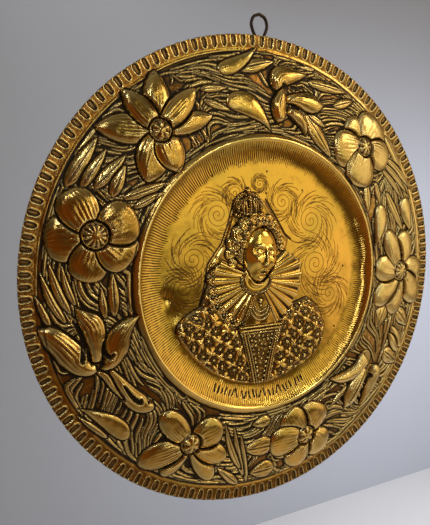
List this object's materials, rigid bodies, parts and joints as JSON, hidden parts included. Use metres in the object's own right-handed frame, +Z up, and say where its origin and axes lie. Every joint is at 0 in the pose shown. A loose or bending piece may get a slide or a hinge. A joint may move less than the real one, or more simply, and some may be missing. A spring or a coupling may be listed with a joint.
{
  "type": "brass wall plate",
  "caption": "Round wall plate of beaten brass: fluted edge, flower border, hollow cove and a crowned bust in relief, hung from a wire loop.",
  "frame": {"origin": "the hanging point: inside of the wire loop's top, where the peg of a wall hook bears", "axes": "+Z up, the front of the plate faces -Y, +X to the viewer's right, +Y towards the wall"},
  "size_m": [0.45, 0.0278, 0.472],
  "materials": {
    "beaten_brass": "polished on the high places, blackened patina in the grooves",
    "dark_wire": "dark brown, dull"
  },
  "bodies": {
    "root": {"plate": "beaten_brass", "hanging_loop": "dark_wire"}
  },
  "joints": []
}
